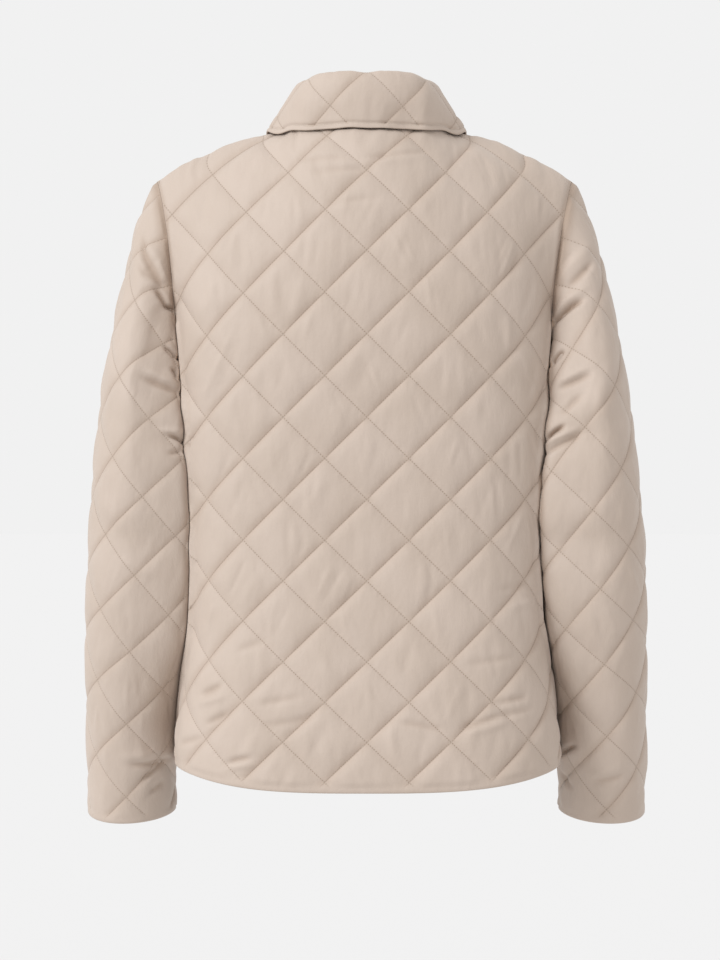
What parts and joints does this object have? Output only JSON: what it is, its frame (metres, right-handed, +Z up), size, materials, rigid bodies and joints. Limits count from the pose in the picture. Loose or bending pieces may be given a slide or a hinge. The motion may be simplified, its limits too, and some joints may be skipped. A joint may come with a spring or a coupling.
{
  "type": "quilted jacket, worn and hollow",
  "caption": "Hip-length quilted jacket in sand cloth with a turned-down collar, long set-in sleeves and a buttoned front.",
  "frame": {"origin": "between the shoulders, at the height of the neck seam, where the wearer's shoulders carry the jacket", "axes": "+Z up, -Y out of the fronts, +Y out of the back, +X to the wearer's left"},
  "size_m": [0.569, 0.2643, 0.743],
  "materials": {
    "quilted_cloth": "fine smooth weave, quilted, slight satin sheen",
    "button_plastic": "satin"
  },
  "bodies": {
    "root": {"back": "quilted_cloth", "front_left": "quilted_cloth", "front_right": "quilted_cloth", "sleeve_left": "quilted_cloth", "sleeve_right": "quilted_cloth", "collar": "quilted_cloth", "button_1": "button_plastic", "button_2": "button_plastic", "button_3": "button_plastic", "button_4": "button_plastic", "button_5": "button_plastic"}
  },
  "joints": []
}
